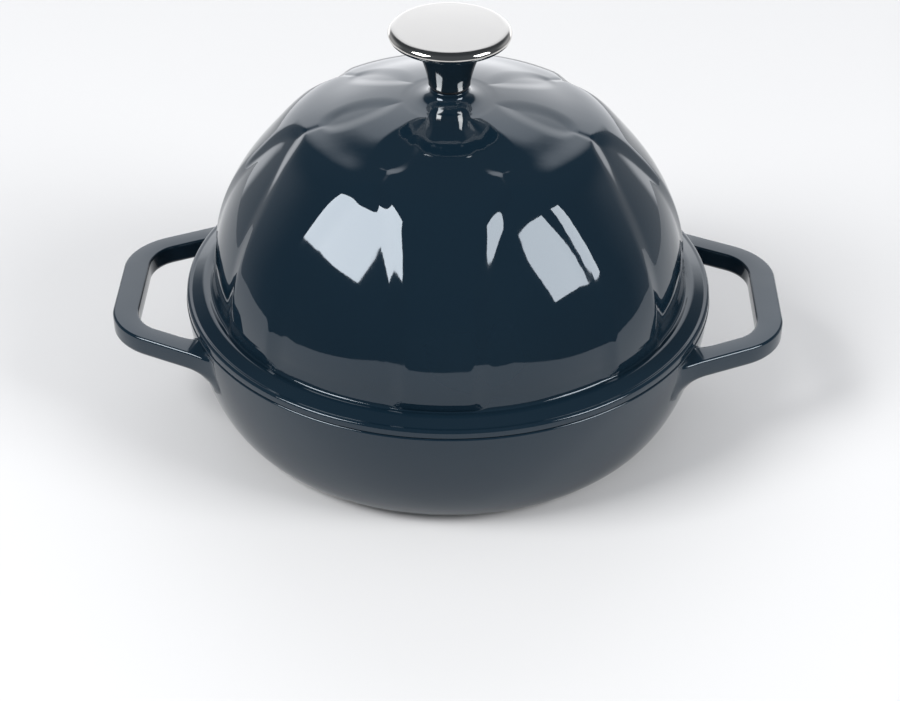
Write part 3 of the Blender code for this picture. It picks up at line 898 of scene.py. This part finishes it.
def slab(name, outline, height):
    """A level piece of tabletop, in a soft white finish."""
    mesh = bpy.data.meshes.new(name)
    mesh.from_pydata([(x, y, height) for x, y in outline], [], [tuple(range(len(outline)))])
    made = placed(name, mesh)
    cloth = Finish(name + "_white", Roughness=0.65, Specular_IOR_Level=0.2)
    soft = noise(cloth.tree, cloth.place, scale=3.0)
    cloth.set("Base Color", blend_colours(cloth.tree, soft * 0.1, rgba(TABLE), rgba(STUDIO_WHITE)))
    made.data.materials.append(cloth.material)
    return made


def studio():
    """A white table, and a pale floor around it that the pot does not reflect."""
    slab("table", TABLE_SIDE + tuple((-x, y) for x, y in reversed(TABLE_SIDE)), 0.0)
    corners = [(FLOOR_HALF * x, FLOOR_HALF * y) for x, y in ((-1, -1), (1, -1), (1, 1), (-1, 1))]
    floor = slab("floor", corners, -FLOOR_DROP)
    floor.visible_glossy = False
    floor.visible_diffuse = False
    floor.visible_shadow = False


def room():
    """A white wall behind, brightest in its middle, and a dim room on the other sides."""
    world = bpy.data.worlds.new("studio_room")
    world.use_nodes = True
    bpy.context.scene.world = world
    tree = world.node_tree
    x, y, z = parts_of(tree, node(tree, "ShaderNodeTexCoord"))
    facing_back = y / (x * x + y * y + 0.0001) ** 0.5
    edge = facing_back - NARROWING * ease(tree, z, *NARROWING_FADE)
    wall = ease(tree, edge, *WALL_SIDE_FADE) * (1 - ease(tree, z, *WALL_TOP_FADE))
    glow = wall * (WALL_GLOW + MIDDLE_GLOW * ease(tree, facing_back, *MIDDLE_FADE))
    side_glow = SIDE_GLOW * ease(tree, facing_back, *SIDE_FADE)
    glow = glow + side_glow * (1 - ease(tree, z, *SIDE_TOP_FADE))
    glow = glow + FILL_GLOW * node(tree, "ShaderNodeLightPath", None, None, 2)
    red, green, blue = DIM_ROOM
    light = node(tree, "ShaderNodeCombineColor", None,
                 {0: red + glow, 1: green + glow, 2: blue + glow * 1.02})
    seen = node(tree, "ShaderNodeLightPath")
    shown = blend_colours(tree, seen, light, rgba(BACKDROP))
    tree.links.new(shown.socket, tree.nodes["Background"].inputs["Color"])


def window(name, azimuth, elevation, width, height, power):
    """A soft rectangular light facing the pot, with its direction in degrees; 0 is in front."""
    lamp = bpy.data.lights.new(name, "AREA")
    lamp.shape = "RECTANGLE"
    lamp.size = width
    lamp.size_y = height
    lamp.energy = power
    made = placed(name, lamp)
    a, e = math.radians(azimuth), math.radians(elevation)
    aim = Vector((math.sin(a) * math.cos(e), -math.cos(a) * math.cos(e), math.sin(e)))
    made.location = aim * WINDOW_DISTANCE + Vector((0, 0, WINDOW_AIM_HEIGHT))
    made.rotation_euler = aim.to_track_quat("Z", "Y").to_euler()


def camera():
    """The camera in front of the pot, a little above it and looking down."""
    view = bpy.data.cameras.new("camera")
    view.sensor_width = CAMERA_SENSOR
    view.lens = CAMERA_LENS
    view.sensor_fit = "HORIZONTAL"
    view.shift_x = CAMERA_SHIFT
    view.clip_end = 50.0
    made = placed("camera", view)
    made.location = CAMERA_PLACE
    level = Euler((math.pi / 2 - CAMERA_DIP, 0.0, CAMERA_TURN)).to_matrix()
    made.rotation_euler = (level @ Matrix.Rotation(CAMERA_ROLL, 3, "Z")).to_euler()
    bpy.context.scene.camera = made


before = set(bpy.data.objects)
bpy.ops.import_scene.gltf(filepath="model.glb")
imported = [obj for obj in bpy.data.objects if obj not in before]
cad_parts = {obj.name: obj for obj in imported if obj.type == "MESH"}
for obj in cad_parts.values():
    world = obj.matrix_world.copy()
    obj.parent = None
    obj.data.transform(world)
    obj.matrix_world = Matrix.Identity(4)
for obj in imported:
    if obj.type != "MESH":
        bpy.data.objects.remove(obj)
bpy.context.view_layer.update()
ENAMELS = (outer_enamel(), inner_enamel())
make_pan()
make_lid()
make_knob(*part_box("lid_knob"))
flat_ring("knob_seal", "knob_gasket", 0.0003, silicone())
flat_ring("flat_ring", "flat_washer", 0.0002, plain_steel("washer_steel", STEEL_DULL, 0.28))
split_ring()
make_screw()
studio()
room()
window("window_left", -61, 41, 1.42, 1.36, 88)
window("window_right", 65, 30, 1.36, 1.54, 74)
camera()
bpy.context.scene.view_settings.view_transform = "Standard"
